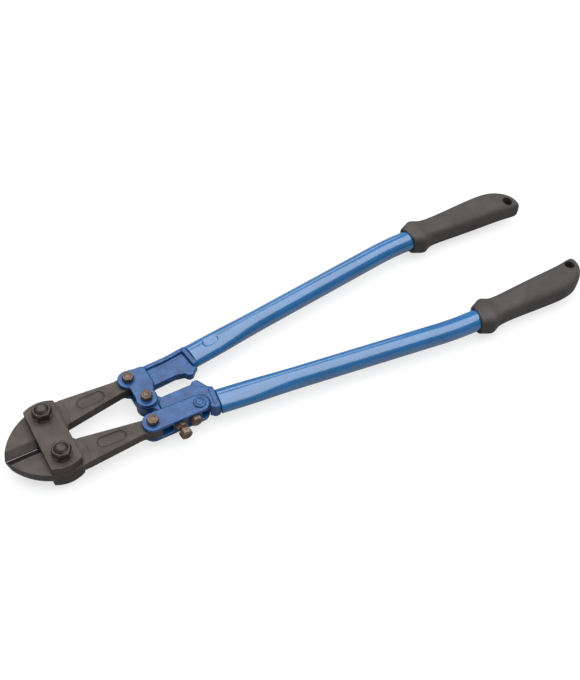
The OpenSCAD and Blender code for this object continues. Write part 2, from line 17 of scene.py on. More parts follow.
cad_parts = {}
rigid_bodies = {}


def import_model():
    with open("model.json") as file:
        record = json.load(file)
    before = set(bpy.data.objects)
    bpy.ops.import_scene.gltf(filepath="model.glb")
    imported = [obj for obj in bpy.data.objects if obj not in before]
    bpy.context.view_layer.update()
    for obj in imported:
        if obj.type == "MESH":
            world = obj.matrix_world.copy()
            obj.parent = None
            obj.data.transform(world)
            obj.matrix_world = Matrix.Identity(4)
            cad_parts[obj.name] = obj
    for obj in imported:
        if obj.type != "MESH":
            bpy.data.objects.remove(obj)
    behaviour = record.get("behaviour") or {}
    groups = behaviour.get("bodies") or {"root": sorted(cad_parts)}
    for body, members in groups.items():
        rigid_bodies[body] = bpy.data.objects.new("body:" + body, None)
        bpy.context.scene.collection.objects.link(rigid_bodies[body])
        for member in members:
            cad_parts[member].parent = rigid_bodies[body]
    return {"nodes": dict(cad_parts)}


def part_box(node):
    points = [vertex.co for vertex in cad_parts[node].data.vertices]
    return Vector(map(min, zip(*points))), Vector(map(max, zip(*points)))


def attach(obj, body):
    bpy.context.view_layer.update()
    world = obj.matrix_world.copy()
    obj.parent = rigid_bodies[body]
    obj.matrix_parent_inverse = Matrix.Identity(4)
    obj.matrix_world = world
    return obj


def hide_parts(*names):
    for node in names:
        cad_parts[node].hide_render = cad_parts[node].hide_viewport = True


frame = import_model()

LOG = logging.getLogger("bolt_cutters")
MM = 0.001
ROUND_TOP = 0.94  # radius of a hexagon's round top face, as a share of its half flats
TURNED_SLOPE = 0.62  # rise of the slope that turns off a hexagon's corners, per unit of radius

Ring = tuple[float, float]


class Side(Enum):
    """The two handles: the left one lies towards +Y and the right one towards -Y."""

    LEFT = 1
    RIGHT = -1

    @property
    def word(self) -> str:
        """The side's name as the nodes spell it."""
        return self.name.lower()


class Axis(Enum):
    """The directions that a fastener can point in, from its head outwards."""

    UP = "up"
    OUTWARDS = "outwards"


# ---------------------------------------------------------------------------
# Bench work: small helpers around Blender's own operators
# ---------------------------------------------------------------------------


def clear_selection() -> None:
    """Leaves edit mode and deselects everything."""
    active = bpy.context.view_layer.objects.active
    if active is not None and active.mode != "OBJECT":
        bpy.ops.object.mode_set(mode="OBJECT")
    bpy.ops.object.select_all(action="DESELECT")


def hold(piece: bpy.types.Object) -> None:
    """Makes a piece the only selected object and the active one."""
    clear_selection()
    piece.select_set(True)
    bpy.context.view_layer.objects.active = piece


def edit_all(piece: bpy.types.Object) -> None:
    """Opens a piece in edit mode by vertices, with all of it selected."""
    hold(piece)
    bpy.ops.object.mode_set(mode="EDIT")
    bpy.ops.mesh.select_mode(type="VERT")
    bpy.ops.mesh.select_all(action="SELECT")


def pick_faces(piece: bpy.types.Object, wanted: Callable[[Vector, Vector], bool]) -> None:
    """Selects the faces of a piece in edit mode by their middle and normal.

    Args:
        piece: The piece, open in edit mode.
        wanted: Says of a face's middle (in metres) and normal whether it is selected.
    """
    bpy.ops.mesh.select_mode(type="FACE")
    bpy.ops.mesh.select_all(action="DESELECT")
    mesh = bmesh.from_edit_mesh(piece.data)
    for face in mesh.faces:
        if wanted(face.calc_center_median(), face.normal):
            face.select_set(True)
    bmesh.update_edit_mesh(piece.data)


def close_up(piece: bpy.types.Object) -> None:
    """Merges a piece's doubles and turns its faces outwards."""
    edit_all(piece)
    bpy.ops.mesh.remove_doubles(threshold=1e-6)
    bpy.ops.mesh.normals_make_consistent(inside=False)
    bpy.ops.object.mode_set(mode="OBJECT")


def settle(piece: bpy.types.Object) -> bpy.types.Object:
    """Moves a piece's place, turn and scale into its mesh.

    Args:
        piece: The piece to settle.

    Returns:
        The same piece, with its object at the origin.
    """
    hold(piece)
    bpy.ops.object.transform_apply(location=True, rotation=True, scale=True)
    return piece


def soften(piece: bpy.types.Object, width: float, segments: int = 3, angle: float = 28) -> None:
    """Rounds the edges of a piece with a Bevel modifier.

    Args:
        piece: The piece to round.
        width: Width of the rounding.
        segments: Faces across it.
        angle: Edges sharper than this many degrees are rounded.
    """
    hold(piece)
    bevel = piece.modifiers.new("rounded edges", "BEVEL")
    bevel.width = width * MM
    bevel.segments = segments
    bevel.limit_method = "ANGLE"
    bevel.angle_limit = math.radians(angle)
    bpy.ops.object.modifier_apply(modifier=bevel.name)


def smooth_shade(piece: bpy.types.Object, angle: float = 32) -> None:
    """Shades a piece smoothly, apart from edges sharper than an angle in degrees."""
    hold(piece)
    bpy.ops.object.shade_smooth_by_angle(angle=math.radians(angle), keep_sharp_edges=False)


def melt(piece: bpy.types.Object, voxel: float, rounds: int) -> None:
    """Turns a piece into an even skin with rounded edges, as a forging or casting has.

    Args:
        piece: A closed piece.
        voxel: Size of the skin's faces.
        rounds: Smoothing rounds, more for softer edges.
    """
    hold(piece)
    skin = piece.modifiers.new("even skin", "REMESH")
    skin.mode = "VOXEL"
    skin.voxel_size = voxel * MM
    bpy.ops.object.modifier_apply(modifier=skin.name)
    ease = piece.modifiers.new("soft edges", "SMOOTH")
    ease.factor = 0.5
    ease.iterations = rounds
    bpy.ops.object.modifier_apply(modifier=ease.name)
    bpy.ops.object.shade_smooth()


def carve(piece: bpy.types.Object, tool: bpy.types.Object, how: str = "DIFFERENCE") -> None:
    """Cuts a piece with another one, which is used up.

    Args:
        piece: The piece that stays.
        tool: The cutter.
        how: The Boolean operation.
    """
    hold(piece)
    cut = piece.modifiers.new("cut", "BOOLEAN")
    cut.operation = how
    cut.solver = "EXACT"
    cut.object = tool
    bpy.ops.object.modifier_apply(modifier=cut.name)
    bpy.data.objects.remove(tool, do_unlink=True)


def turned(name: str, rings: Sequence[Ring], sides: int = 64) -> bpy.types.Object:
    """Turns a closed piece about Z by extruding and scaling a disc.

    Args:
        name: The piece's name.
        rings: Height and radius of each ring, from the bottom to the top.
        sides: Sides of the disc; 6 gives a hexagon.

    Returns:
        The piece, standing on the first ring's height.
    """
    clear_selection()
    height, radius = rings[0]
    bpy.ops.mesh.primitive_circle_add(
        vertices=sides, radius=radius * MM, fill_type="NGON", location=(0, 0, height * MM)
    )
    piece = settle(bpy.context.object)
    piece.name = piece.data.name = name
    edit_all(piece)
    for new_height, new_radius in rings[1:]:
        bpy.ops.mesh.extrude_region_move(
            TRANSFORM_OT_translate={"value": (0, 0, (new_height - height) * MM)}
        )
        share = new_radius / radius
        bpy.ops.transform.resize(
            value=(share, share, 1), center_override=(0, 0, new_height * MM)
        )
        height, radius = new_height, new_radius
    bpy.ops.object.mode_set(mode="OBJECT")
    close_up(piece)
    return piece


def hexagon(name: str, flats: float, height: float, tilt: float = 0) -> bpy.types.Object:
    """Makes a hexagon head whose corners are turned off at the top, standing on z = 0.

    Args:
        name: The piece's name.
        flats: Width across the flats.
        height: Height of the head.
        tilt: Turn about its own axis, in degrees.

    Returns:
        The head, with its corners turned off at the top.
    """
    corner = flats / math.sqrt(3)
    clear = corner + 1
    edge = flats / 2 * ROUND_TOP
    drop = 0.30 * (corner - edge)
    slope_foot = height - drop - TURNED_SLOPE * (clear - edge)
    head = turned(name, [(0, corner), (height, corner)], sides=6)
    barrel = turned(
        name + "_barrel",
        [(-1, clear), (slope_foot, clear), (height, edge), (height + 1, edge * 0.5)],
        sides=72,
    )
    carve(head, barrel, "INTERSECT")
    if tilt:
        hold(head)
        head.rotation_euler = (0, 0, math.radians(tilt))
        settle(head)
    return head


def stand(piece: bpy.types.Object, place: Vector, axis: Axis = Axis.UP, side: Side = Side.LEFT) -> None:
    """Stands a piece made on z = 0 at its place, pointing along its axis.

    Args:
        piece: The piece.
        place: Where its foot goes, in metres.
        axis: Up, or outwards along Y.
        side: The side it points to when it points outwards.
    """
    hold(piece)
    piece.location = place
    if axis is Axis.OUTWARDS:
        piece.rotation_euler = (-side.value * math.pi / 2, 0, 0)
    settle(piece)


def join(pieces: Sequence[bpy.types.Object]) -> bpy.types.Object:
    """Joins pieces into the first of them."""
    clear_selection()
    for piece in pieces:
        piece.select_set(True)
    bpy.context.view_layer.objects.active = pieces[0]
    bpy.ops.object.join()
    return pieces[0]


def twin(piece: bpy.types.Object, name: str) -> bpy.types.Object:
    """Copies a piece with a mesh of its own."""
    hold(piece)
    bpy.ops.object.duplicate(linked=False)
    copy = bpy.context.object
    copy.name = copy.data.name = name
    return copy


def cad_copy(node: str, name: str) -> bpy.types.Object:
    """Copies a CAD node's mesh as one closed skin.

    Args:
        node: The CAD node.
        name: The copy's name.

    Returns:
        The copy, free of the frame.
    """
    copy = twin(frame["nodes"][node], name)
    bpy.ops.object.parent_clear(type="CLEAR_KEEP_TRANSFORM")
    copy.data.materials.clear()
    edit_all(copy)
    bpy.ops.mesh.remove_doubles(threshold=2e-6)
    bpy.ops.object.mode_set(mode="OBJECT")
    return copy


def middle(node: str) -> Vector:
    """Middle of a CAD node's box, in metres."""
    low, high = (Vector(corner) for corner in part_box(node))
    return (low + high) / 2


def foot(node: str) -> Vector:
    """Middle of the underside of a CAD node's box, in metres."""
    low, _ = (Vector(corner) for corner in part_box(node))
    centre = middle(node)
    return Vector((centre.x, centre.y, low.z))


# ---------------------------------------------------------------------------
# Shared shader groups
# ---------------------------------------------------------------------------


def socket(group: bpy.types.NodeTree, name: str, way: str, kind: str, value: float | None = None) -> None:
    """Adds a named socket to a node group.

    Args:
        group: The group.
        name: The socket's name.
        way: "INPUT" or "OUTPUT".
        kind: "Float" or "Vector".
        value: Its default value, if it has one.
    """
    made = group.interface.new_socket(name, in_out=way, socket_type="NodeSocket" + kind)
    if value is not None:
        made.default_value = value


class Shared:
    """Node groups that several finishes use."""

    _made: dict[str, bpy.types.NodeTree] = {}

    @classmethod
    def grain(cls) -> bpy.types.NodeTree:
        """Mottling and fine grain of a cast, forged or moulded surface.

        Returns:
            A group that puts out a broad mottle mask and a height for bumps.
        """
        if "grain" in cls._made:
            return cls._made["grain"]
        group = bpy.data.node_groups.new("surface grain", "ShaderNodeTree")
        socket(group, "Coordinates", "INPUT", "Vector")
        socket(group, "Mottle scale", "INPUT", "Float", 60)
        socket(group, "Grain scale", "INPUT", "Float", 900)
        socket(group, "Mottle share", "INPUT", "Float", 0.3)
        socket(group, "Mottle", "OUTPUT", "Float")
        socket(group, "Height", "OUTPUT", "Float")
        nodes, links = group.nodes, group.links
        inputs = nodes.new("NodeGroupInput")
        outputs = nodes.new("NodeGroupOutput")
        broad = nodes.new("ShaderNodeTexNoise")
        broad.inputs["Detail"].default_value = 5
        broad.inputs["Roughness"].default_value = 0.62
        fine = nodes.new("ShaderNodeTexNoise")
        fine.inputs["Detail"].default_value = 3
        fine.inputs["Roughness"].default_value = 0.55
        spread = nodes.new("ShaderNodeMapRange")
        spread.inputs["From Min"].default_value = 0.34
        spread.inputs["From Max"].default_value = 0.66
        mix = nodes.new("ShaderNodeMix")
        mix.data_type = "FLOAT"
        for texture, scale in ((broad, "Mottle scale"), (fine, "Grain scale")):
            links.new(inputs.outputs["Coordinates"], texture.inputs["Vector"])
            links.new(inputs.outputs[scale], texture.inputs["Scale"])
        links.new(broad.outputs["Fac"], spread.inputs["Value"])
        links.new(spread.outputs["Result"], outputs.inputs["Mottle"])
        links.new(inputs.outputs["Mottle share"], mix.inputs[0])
        links.new(fine.outputs["Fac"], mix.inputs[2])
        links.new(broad.outputs["Fac"], mix.inputs[3])
        links.new(mix.outputs[0], outputs.inputs["Height"])
        cls._made["grain"] = group
        return group

    @classmethod
    def edge_wear_and_highlight(cls) -> bpy.types.NodeTree:
        """Rubbed outer edges, part real wear and part painted edge highlight, broken up by a noise.

        Returns:
            A group that puts out a mask of wear and painted edge highlight from the skin's sharpness.
        """
        if "wear_and_highlight" in cls._made:
            return cls._made["wear_and_highlight"]
        group = bpy.data.node_groups.new("edge wear", "ShaderNodeTree")
        socket(group, "Coordinates", "INPUT", "Vector")
        socket(group, "Amount", "INPUT", "Float", 0.5)
        socket(group, "Start", "INPUT", "Float", 0.53)
        socket(group, "Mask", "OUTPUT", "Float")
        nodes, links = group.nodes, group.links
        inputs = nodes.new("NodeGroupInput")
        outputs = nodes.new("NodeGroupOutput")
        # Pointiness picks out convex edges for a lighter colour: part real wear, part painted highlight.
        shape = nodes.new("ShaderNodeNewGeometry")
        edge = nodes.new("ShaderNodeMapRange")
        edge.inputs["From Max"].default_value = 0.62
        patches = nodes.new("ShaderNodeTexNoise")
        patches.inputs["Scale"].default_value = 260
        patches.inputs["Detail"].default_value = 4
        broken = nodes.new("ShaderNodeMapRange")
        broken.inputs["From Min"].default_value = 0.4
        broken.inputs["From Max"].default_value = 0.62
        broken.inputs["To Min"].default_value = 0.25
        both = nodes.new("ShaderNodeMath")
        both.operation = "MULTIPLY"
        scaled = nodes.new("ShaderNodeMath")
        scaled.operation = "MULTIPLY"
        scaled.use_clamp = True
        links.new(shape.outputs["Pointiness"], edge.inputs["Value"])
        links.new(inputs.outputs["Start"], edge.inputs["From Min"])
        links.new(inputs.outputs["Coordinates"], patches.inputs["Vector"])
        links.new(patches.outputs["Fac"], broken.inputs["Value"])
        links.new(edge.outputs["Result"], both.inputs[0])
        links.new(broken.outputs["Result"], both.inputs[1])
        links.new(both.outputs[0], scaled.inputs[0])
        links.new(inputs.outputs["Amount"], scaled.inputs[1])
        links.new(scaled.outputs[0], outputs.inputs["Mask"])
        cls._made["wear_and_highlight"] = group
        return group


# ---------------------------------------------------------------------------
# Finishes
# ---------------------------------------------------------------------------


def linear(colour: tuple[int, int, int]) -> tuple[float, float, float, float]:
    """Turns a display colour (0 to 255) into the scene's linear one."""
    parts = []
    for part in colour:
        share = part / 255
        parts.append(share / 12.92 if share <= 0.04045 else ((share + 0.055) / 1.055) ** 2.4)
    return (parts[0], parts[1], parts[2], 1.0)


@dataclass(frozen=True)
class Finish:
    """A surface finish: two close colours, edges lightened as part real wear and part painted highlight,
    grain and gloss.
    """

    name: str
    slot: str
    light: tuple[int, int, int]
    dark: tuple[int, int, int]
    # Lighter colour of convex edges: part real wear, part painted highlight.
    worn_and_highlight: tuple[int, int, int]
    wear_and_highlight: float
    rough_low: float
    rough_high: float
    mottle_scale: float
    grain_scale: float
    mottle_share: float
    bump: float
    bump_depth: float
    metallic: float = 0.0
    coat: float = 0.0
    coat_rough: float = 0.08
    specular: float = 0.5
    wear_and_highlight_start: float = 0.53

    def build(self) -> bpy.types.Material:
        """Builds the finish once.

        Returns:
            Its procedural material, the same one each time.
        """
        known = bpy.data.materials.get(self.name)
        if known is not None:
            return known
        material = bpy.data.materials.new(self.name)
        material.use_nodes = True
        nodes, links = material.node_tree.nodes, material.node_tree.links
        shader = nodes["Principled BSDF"]
        shader.inputs["Metallic"].default_value = self.metallic
        shader.inputs["Specular IOR Level"].default_value = self.specular
        shader.inputs["Coat Weight"].default_value = self.coat
        shader.inputs["Coat Roughness"].default_value = self.coat_rough
        where = nodes.new("ShaderNodeTexCoord")
        grain = nodes.new("ShaderNodeGroup")
        grain.node_tree = Shared.grain()
        grain.inputs["Mottle scale"].default_value = self.mottle_scale
        grain.inputs["Grain scale"].default_value = self.grain_scale
        grain.inputs["Mottle share"].default_value = self.mottle_share
        wear_and_highlight = nodes.new("ShaderNodeGroup")
        wear_and_highlight.node_tree = Shared.edge_wear_and_highlight()
        wear_and_highlight.inputs["Amount"].default_value = self.wear_and_highlight
        wear_and_highlight.inputs["Start"].default_value = self.wear_and_highlight_start
        body = nodes.new("ShaderNodeMix")
        body.data_type = "RGBA"
        body.inputs[6].default_value = linear(self.dark)
        body.inputs[7].default_value = linear(self.light)
        # Lighter edge colour over the mask: part real wear, part painted edge highlight.
        rubbed_and_highlit = nodes.new("ShaderNodeMix")
        rubbed_and_highlit.data_type = "RGBA"
        rubbed_and_highlit.inputs[7].default_value = linear(self.worn_and_highlight)
        rough = nodes.new("ShaderNodeMapRange")
        rough.inputs["To Min"].default_value = self.rough_high
        rough.inputs["To Max"].default_value = self.rough_low
        bump = nodes.new("ShaderNodeBump")
        bump.inputs["Strength"].default_value = self.bump
        bump.inputs["Distance"].default_value = self.bump_depth * MM
        links.new(where.outputs["Object"], grain.inputs["Coordinates"])
        links.new(where.outputs["Object"], wear_and_highlight.inputs["Coordinates"])
        links.new(grain.outputs["Mottle"], body.inputs[0])
        links.new(body.outputs[2], rubbed_and_highlit.inputs[6])
        links.new(wear_and_highlight.outputs["Mask"], rubbed_and_highlit.inputs[0])
        links.new(rubbed_and_highlit.outputs[2], shader.inputs["Base Color"])
        links.new(grain.outputs["Mottle"], rough.inputs["Value"])
        links.new(rough.outputs["Result"], shader.inputs["Roughness"])
        links.new(grain.outputs["Height"], bump.inputs["Height"])
        links.new(bump.outputs["Normal"], shader.inputs["Normal"])
        return material


FORGED_STEEL = Finish(
    name="forged steel", slot="forged_black", light=(58, 50, 45), dark=(46, 39, 35),
    worn_and_highlight=(104, 95, 88), wear_and_highlight=0.5, rough_low=0.42, rough_high=0.55, mottle_scale=70,
    grain_scale=1100, mottle_share=0.3, bump=0.35, bump_depth=0.12, specular=0.28,
)
# Metallic ground slopes beside the cutting edge; their colour, darker than the forging, is painted shade.
GROUND_EDGE_SHADED = Finish(
    name="ground edge", slot="forged_black", light=(46, 42, 40), dark=(38, 35, 33),
    worn_and_highlight=(96, 90, 84), wear_and_highlight=0.4, rough_low=0.28, rough_high=0.36, mottle_scale=90,
    grain_scale=1400, mottle_share=0.2, bump=0.15, bump_depth=0.05, metallic=0.85,
)
BLACK_BOLT = Finish(
    name="blackened bolt", slot="bolt_black", light=(60, 51, 44), dark=(42, 36, 31),
    worn_and_highlight=(104, 94, 86), wear_and_highlight=0.6, rough_low=0.3, rough_high=0.42, mottle_scale=140,
    grain_scale=1500, mottle_share=0.3, bump=0.2, bump_depth=0.06, metallic=0.35, specular=0.35,
)
BROWN_PIN = Finish(
    name="browned pin", slot="pin_brown", light=(92, 76, 66), dark=(58, 47, 41),
    worn_and_highlight=(130, 112, 98), wear_and_highlight=0.5, rough_low=0.34, rough_high=0.48, mottle_scale=160,
    grain_scale=1500, mottle_share=0.3, bump=0.25, bump_depth=0.06, metallic=0.6,
)
BLUE_CASTING = Finish(
    name="blue painted casting", slot="blue_casting", light=(2, 68, 120), dark=(0, 46, 90),
    worn_and_highlight=(70, 132, 180), wear_and_highlight=0.35, rough_low=0.3, rough_high=0.42, mottle_scale=120,
    grain_scale=700, mottle_share=0.45, bump=0.4, bump_depth=0.25, coat=0.15, coat_rough=0.16,
    specular=0.35,
)
BLUE_ENAMEL = Finish(
    name="blue tube enamel", slot="blue_tube", light=(2, 84, 134), dark=(0, 74, 122),
    worn_and_highlight=(60, 130, 200), wear_and_highlight=0.0, rough_low=0.24, rough_high=0.3, mottle_scale=30,
    grain_scale=420, mottle_share=0.5, bump=0.02, bump_depth=0.1, coat=0.8, coat_rough=0.07,
)
RUBBER = Finish(
    name="grip rubber", slot="grip_rubber", light=(56, 52, 50), dark=(48, 44, 42),
    worn_and_highlight=(74, 69, 66), wear_and_highlight=0.3, rough_low=0.58, rough_high=0.7, mottle_scale=50,
    grain_scale=1900, mottle_share=0.15, bump=0.5, bump_depth=0.1, specular=0.35,
)


def dress(
    piece: bpy.types.Object, finish: Finish, body: str, *nodes: str
) -> None:
    """Gives a finished piece its material, its body and the nodes that it stands for.

    Args:
        piece: The finished piece.
        finish: Its finish.
        body: The body that it moves with.
        nodes: The CAD nodes that it replaces.
    """
    piece.data.materials.clear()
    piece.data.materials.append(finish.build())
    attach(piece, body)
    if nodes:
        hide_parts(*nodes)
    faces = sum(len(face.vertices) - 2 for face in piece.data.polygons)
    LOG.info("%s: %d triangles on %s", piece.name, faces, body)


# ---------------------------------------------------------------------------
# Sub-assemblies
# ---------------------------------------------------------------------------


@dataclass
class Straps:
    """The two straps that tie the jaws together, with their bolts, nuts and washers."""

    body: str = "straps"
    voxel: float = 0.45
    rounds: int = 5
    bolt_spacing: float = 47
    bolt_d: float = 11.4
    nut_flats: float = 16.5
    nut_height: float = 7.5
    head_height: float = 6
    dome: float = 2.6
    washer_d: float = 18.6
    washer_t: float = 1.8
    nut_turns: tuple[float, float] = (22, 26)

    def build(self) -> None:
        """Builds and dresses every piece of the sub-assembly."""
        for node in ("upper_strap", "lower_strap"):
            strap = cad_copy(node, node + "_forging")
            melt(strap, self.voxel, self.rounds)
            dress(strap, FORGED_STEEL, self.body, node)
        for side in Side:
            self.fasten(side)

    def fasten(self, side: Side) -> None:
        """Builds one jaw bolt with its nut and washer.

        Args:
            side: The jaw that the bolt holds.
        """
        x = middle("jaw_nuts").x
        y = side.value * self.bolt_spacing / 2 * MM
        washer_foot = Vector((x, y, foot("jaw_washers").z))
        nut_foot = Vector((x, y, foot("jaw_nuts").z))
        bolt_foot = Vector((x, y, foot("jaw_bolts").z))
        turn = self.nut_turns[0] if side is Side.LEFT else self.nut_turns[1]

        washer = turned(
            side.word + "_jaw_washer",
            [(0.02, self.washer_d / 2), (self.washer_t, self.washer_d / 2)],
        )
        soften(washer, 0.4)
        smooth_shade(washer)
        stand(washer, washer_foot)
        dress(washer, BLACK_BOLT, self.body, "jaw_washers")

        nut = hexagon(side.word + "_jaw_nut_top", self.nut_flats, self.nut_height, turn)
        bore = turned("nut_bore", [
            (-1, self.bolt_d / 2 + 0.12), (self.nut_height - 0.9, self.bolt_d / 2 + 0.12),
            (self.nut_height + 0.1, self.bolt_d / 2 + 1.1), (self.nut_height + 1, self.bolt_d / 2 + 1.1)])
        carve(nut, bore)
        soften(nut, 0.3)
        smooth_shade(nut)
        stand(nut, nut_foot)
        dress(nut, BLACK_BOLT, self.body, "jaw_nuts")

        bolt = self.bolt(side.word + "_jaw_bolt_dome", nut_foot.z - bolt_foot.z)
        stand(bolt, bolt_foot)
        dress(bolt, BLACK_BOLT, self.body, "jaw_bolts")

    def bolt(self, name: str, rise_m: float) -> bpy.types.Object:
        """Turns a bolt with a thread below its domed end, and puts its head on.

        Args:
            name: The bolt's name.
            rise_m: Height of the nut's foot above the head's underside, in metres.

        Returns:
            The bolt, standing on its head.
        """
        nut_top = rise_m / MM + self.nut_height
        radius = self.bolt_d / 2
        rings: list[Ring] = [(self.head_height - 0.5, radius - 0.4)]
        height = nut_top - 4.2
        while height < nut_top + 0.2:
            rings += [(height, radius - 0.55), (height + 0.35, radius), (height + 0.6, radius),
                      (height + 0.95, radius - 0.55)]
            height += 1.25
        crown = max(nut_top + 0.4, height) - 0.25
        for step in range(9):
            angle = math.radians(10 * step + 4)
            rings.append((
                crown + self.dome * math.sin(angle), (radius - 0.3) * math.cos(angle)))
        shank = turned(name, rings)
        head = hexagon(name + "_head", self.nut_flats, self.head_height, 8)
        soften(head, 0.3)
        hold(head)
        head.rotation_euler = (math.pi, 0, 0)
        head.location = (0, 0, self.head_height * MM)
        settle(head)
        bolt = join([shank, head])
        smooth_shade(bolt)
        return bolt


@dataclass
class Jaws:
    """The two forged jaws."""

    voxel: float = 0.4
    rounds: int = 3
    ground_to: float = -275
    ground_w: float = 8
    lean_least: float = 0.3
    lean_most: float = 0.97

    def build(self) -> None:
        """Builds and dresses both jaws."""
        for side in Side:
            node = side.word + "_jaw"
            jaw = cad_copy(node, node + "_forging")
            melt(jaw, self.voxel, self.rounds)
            dress(jaw, FORGED_STEEL, node, node)
            self.grind_and_shade(jaw)

    def grind_and_shade(self, jaw: bpy.types.Object) -> None:
        """Gives the two slopes beside a jaw's cutting edge their ground finish: metallic and smoother, in
        a darker colour that is painted shade.

        Args:
            jaw: The jaw, already dressed.
        """
        # The slopes get the ground finish, whose darker colour is painted shade.
        jaw.data.materials.append(GROUND_EDGE_SHADED.build())
        hold(jaw)
        jaw.active_material_index = 1
        bpy.ops.object.mode_set(mode="EDIT")
        pick_faces(jaw, lambda spot, normal: (
            spot.x < self.ground_to * MM and abs(spot.y) < self.ground_w * MM
            and self.lean_least < abs(normal.z) < self.lean_most
            and abs(normal.y) > self.lean_least))
        bpy.ops.object.material_slot_assign()
        bpy.ops.object.mode_set(mode="OBJECT")


@dataclass
class Pins:
    """The three pins of the linkage, each with a nut on its threaded end."""

    pin_d: float = 8
    thread_d: float = 6.4
    flats: float = 10.2
    nut_height: float = 5
    head_height: float = 4.5
    owners: dict[str, str] = field(default_factory=lambda: {
        "left_jaw_pin": "left_lever", "centre_pin": "left_lever",
        "right_jaw_pin": "adjusting_link"})
    turns: dict[str, float] = field(default_factory=lambda: {
        "left_jaw_pin": 10, "centre_pin": 24, "right_jaw_pin": 4})

    def build(self) -> None:
        """Builds and dresses each pin and its nut."""
        for node, body in self.owners.items():
            nut_node = node + "_nut"
            nut = hexagon(nut_node + "_top", self.flats, self.nut_height, self.turns[node])
            soften(nut, 0.25)
            smooth_shade(nut)
            stand(nut, foot(nut_node))
            dress(nut, BROWN_PIN, body, nut_node)
            pin = self.pin(node + "_bar", (foot(nut_node).z - foot(node).z) / MM)
            stand(pin, foot(node))
            dress(pin, BROWN_PIN, body, node)

    def pin(self, name: str, rise: float) -> bpy.types.Object:
        """Turns a pin and puts its head on.

        Args:
            name: The pin's name.
            rise: Height of the nut's foot above the head's underside.

        Returns:
            The pin, standing on its head.
        """
        top = rise + self.nut_height
        radius = self.thread_d / 2
        shank = turned(name, [
            (self.head_height - 0.4, self.pin_d / 2), (rise - 0.2, self.pin_d / 2),
            (rise, radius), (top + 0.25, radius), (top + 0.6, radius - 0.5),
            (top + 0.8, radius - 1.3), (top + 0.88, radius * 0.3)])
        head = hexagon(name + "_head", self.flats, self.head_height, 15)
        soften(head, 0.25)
        hold(head)
        head.rotation_euler = (math.pi, 0, 0)
        head.location = (0, 0, self.head_height * MM)
        settle(head)
        made = join([shank, head])
        smooth_shade(made)
        return made


@dataclass
class Yokes:
    """The two cast yokes, the adjusting link and its rivet, all painted."""

    voxel: float = 0.5
    rounds: int = 15
    rivet_head_d: float = 12.4

    def build(self) -> None:
        """Builds and dresses the castings and the rivet."""
        for node, body in (
            ("left_yoke", "left_lever"), ("right_yoke", "right_lever"),
            ("adjusting_link", "adjusting_link"),
        ):
            casting = cad_copy(node, node + "_casting")
            melt(casting, self.voxel, self.rounds)
            dress(casting, BLUE_CASTING, body, node)
        rivet = self.rivet()
        dress(rivet, BLUE_CASTING, "right_lever", "link_rivet")

    def rivet(self) -> bpy.types.Object:
        """Turns the link's rivet: a ring-shaped groove and a low button in each head.

        Returns:
            The rivet at its place.
        """
        low, high = (Vector(corner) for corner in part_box("link_rivet"))
        half = (high.z - low.z) / 2 / MM
        radius = self.rivet_head_d / 2
        under = half - 1.6
        upper: list[Ring] = [
            (under, radius), (under + 0.5, radius), (under + 1.2, radius - 0.35),
            (half - 0.12, radius - 0.9), (half - 0.05, radius - 1.5),
            (half - 0.35, radius - 1.9), (half - 0.75, radius - 2.2), (half - 0.75, radius - 2.7),
            (half - 0.3, radius - 3.0), (half - 0.02, radius - 3.5), (half, radius - 4.4),
            (half - 0.1, radius - 5.3)]
        lower: list[Ring] = [(-height, ring) for height, ring in reversed(upper)]
        rivet = turned("link_rivet_button", lower + [(-under, 4), (under, 4)] + upper)
        smooth_shade(rivet, 50)
        stand(rivet, (low + high) / 2)
        return rivet


@dataclass
class SideScrews:
    """The adjusting screw with its lock nut, and the clamp bolt behind it."""

    screw_d: float = 6
    head_flats: float = 10.8
    head_height: float = 5.5
    nut_flats: float = 10
    nut_height: float = 4.6
    slot_w: float = 1.6

    def build(self) -> None:
        """Builds and dresses the two screws and the nut."""
        for node, body in (("adjusting_screw", "adjusting_screw"), ("clamp_bolt", "clamp_bolt")):
            low, high = (Vector(corner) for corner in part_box(node))
            length = (high.y - low.y) / MM
            screw = self.screw(node + "_slotted", length)
            stand(screw, Vector(((low.x + high.x) / 2, high.y, (low.z + high.z) / 2)),
                  Axis.OUTWARDS, Side.RIGHT)
            dress(screw, BROWN_PIN, body, node)
        low, high = (Vector(corner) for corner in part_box("adjuster_lock_nut"))
        nut = hexagon("adjuster_lock_nut_top", self.nut_flats, self.nut_height, 14)
        soften(nut, 0.25)
        smooth_shade(nut)
        stand(nut, Vector(((low.x + high.x) / 2, high.y, (low.z + high.z) / 2)),
              Axis.OUTWARDS, Side.RIGHT)
        dress(nut, BROWN_PIN, "adjusting_screw", "adjuster_lock_nut")

    def screw(self, name: str, length: float) -> bpy.types.Object:
        """Turns a screw and slots its head.

        Args:
            name: The screw's name.
            length: Its length over all.

        Returns:
            The screw, pointing up from its shank's end to its head.
        """
        radius = self.screw_d / 2
        shank_end = length - self.head_height
        rings: list[Ring] = [(0, radius - 0.6), (0.5, radius - 0.1)]
        height = 0.9
        while height < shank_end - 0.6:
            rings += [(height, radius - 0.35), (height + 0.3, radius), (height + 0.5, radius),
                      (height + 0.8, radius - 0.35)]
            height += 1.0
        rings += [(shank_end + 0.3, radius - 0.3)]
        shank = turned(name, rings, sides=32)
        head = hexagon(name + "_head", self.head_flats, self.head_height, 22)
        clear_selection()
        bpy.ops.mesh.primitive_cube_add(
            size=1, location=(0, 0, self.head_height * MM),
            scale=(3 * self.head_flats * MM, self.slot_w * MM, 2.4 * MM))
        saw = settle(bpy.context.object)
        edit_all(saw)
        bpy.ops.mesh.bevel(offset=0.3 * MM, segments=2, affect="EDGES")
        bpy.ops.object.mode_set(mode="OBJECT")
        carve(head, saw)
        soften(head, 0.25)
        hold(head)
        head.location = (0, 0, shank_end * MM)
        settle(head)
        screw = join([shank, head])
        smooth_shade(screw)
        return screw


